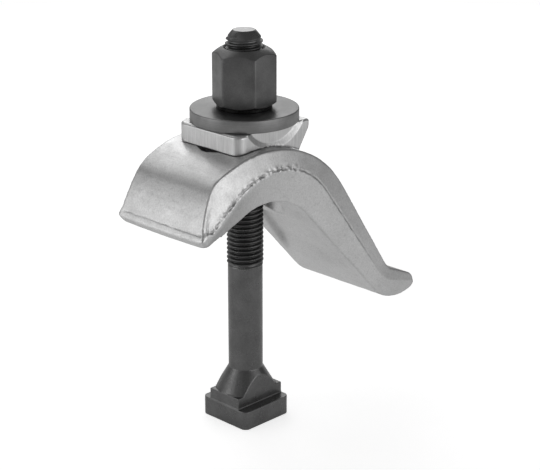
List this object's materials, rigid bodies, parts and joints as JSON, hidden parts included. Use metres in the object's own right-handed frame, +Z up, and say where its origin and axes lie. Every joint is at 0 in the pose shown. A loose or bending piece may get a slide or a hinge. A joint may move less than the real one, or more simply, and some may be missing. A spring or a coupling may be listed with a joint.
{
  "type": "adjustable strap clamp",
  "caption": "Arched forged strap on a T-slot bolt, pressed down by a tall nut, a thick washer and a rocking saddle, for holding work on a slotted machine table.",
  "frame": {"origin": "middle of the T-head's underside, on the bolt's axis", "axes": "+Z up along the bolt, +X along the strap from its heel to its toe, Y across the strap"},
  "size_m": [0.1317, 0.0512, 0.174],
  "materials": {
    "zinc_forging": "forged steel, satin zinc plate with a fine grain",
    "zinc_saddle": "machined steel, satin zinc plate",
    "black_bolt": "turned and milled steel, black oxide, semi-matt",
    "black_nut": "machined steel, black oxide, semi-matt",
    "grey_washer": "turned steel, tempered grey, semi-gloss"
  },
  "bodies": {
    "bolt": {"t_slot_bolt": "black_bolt"},
    "washer": {"washer": "grey_washer"},
    "nut": {"hex_nut": "black_nut"},
    "saddle": {"saddle": "zinc_saddle"},
    "strap": {"clamp_strap": "zinc_forging"}
  },
  "joints": [
    {"name": "clamp_travel", "type": "slide", "parent": "bolt", "child": "washer", "axis": [0, 0, 1], "range_m": [-0.06, 0.006]},
    {"name": "nut_turn", "type": "hinge", "parent": "washer", "child": "nut", "pos_m": [0, 0, 0.1411], "axis": [0, 0, 1], "range_deg": [-10805, 1085]},
    {"name": "strap_swivel", "type": "hinge", "parent": "washer", "child": "saddle", "pos_m": [0, 0, 0.1356], "axis": [0, 0, 1], "continuous": true},
    {"name": "strap_rock", "type": "hinge", "parent": "saddle", "child": "strap", "pos_m": [-0.01, 0, 0.0712], "axis": [0, 1, 0], "range_deg": [-13, 13]}
  ],
  "couplings": [
    {"joint": "nut_turn", "follows": "clamp_travel", "rad_per_m": 3141.6}
  ]
}
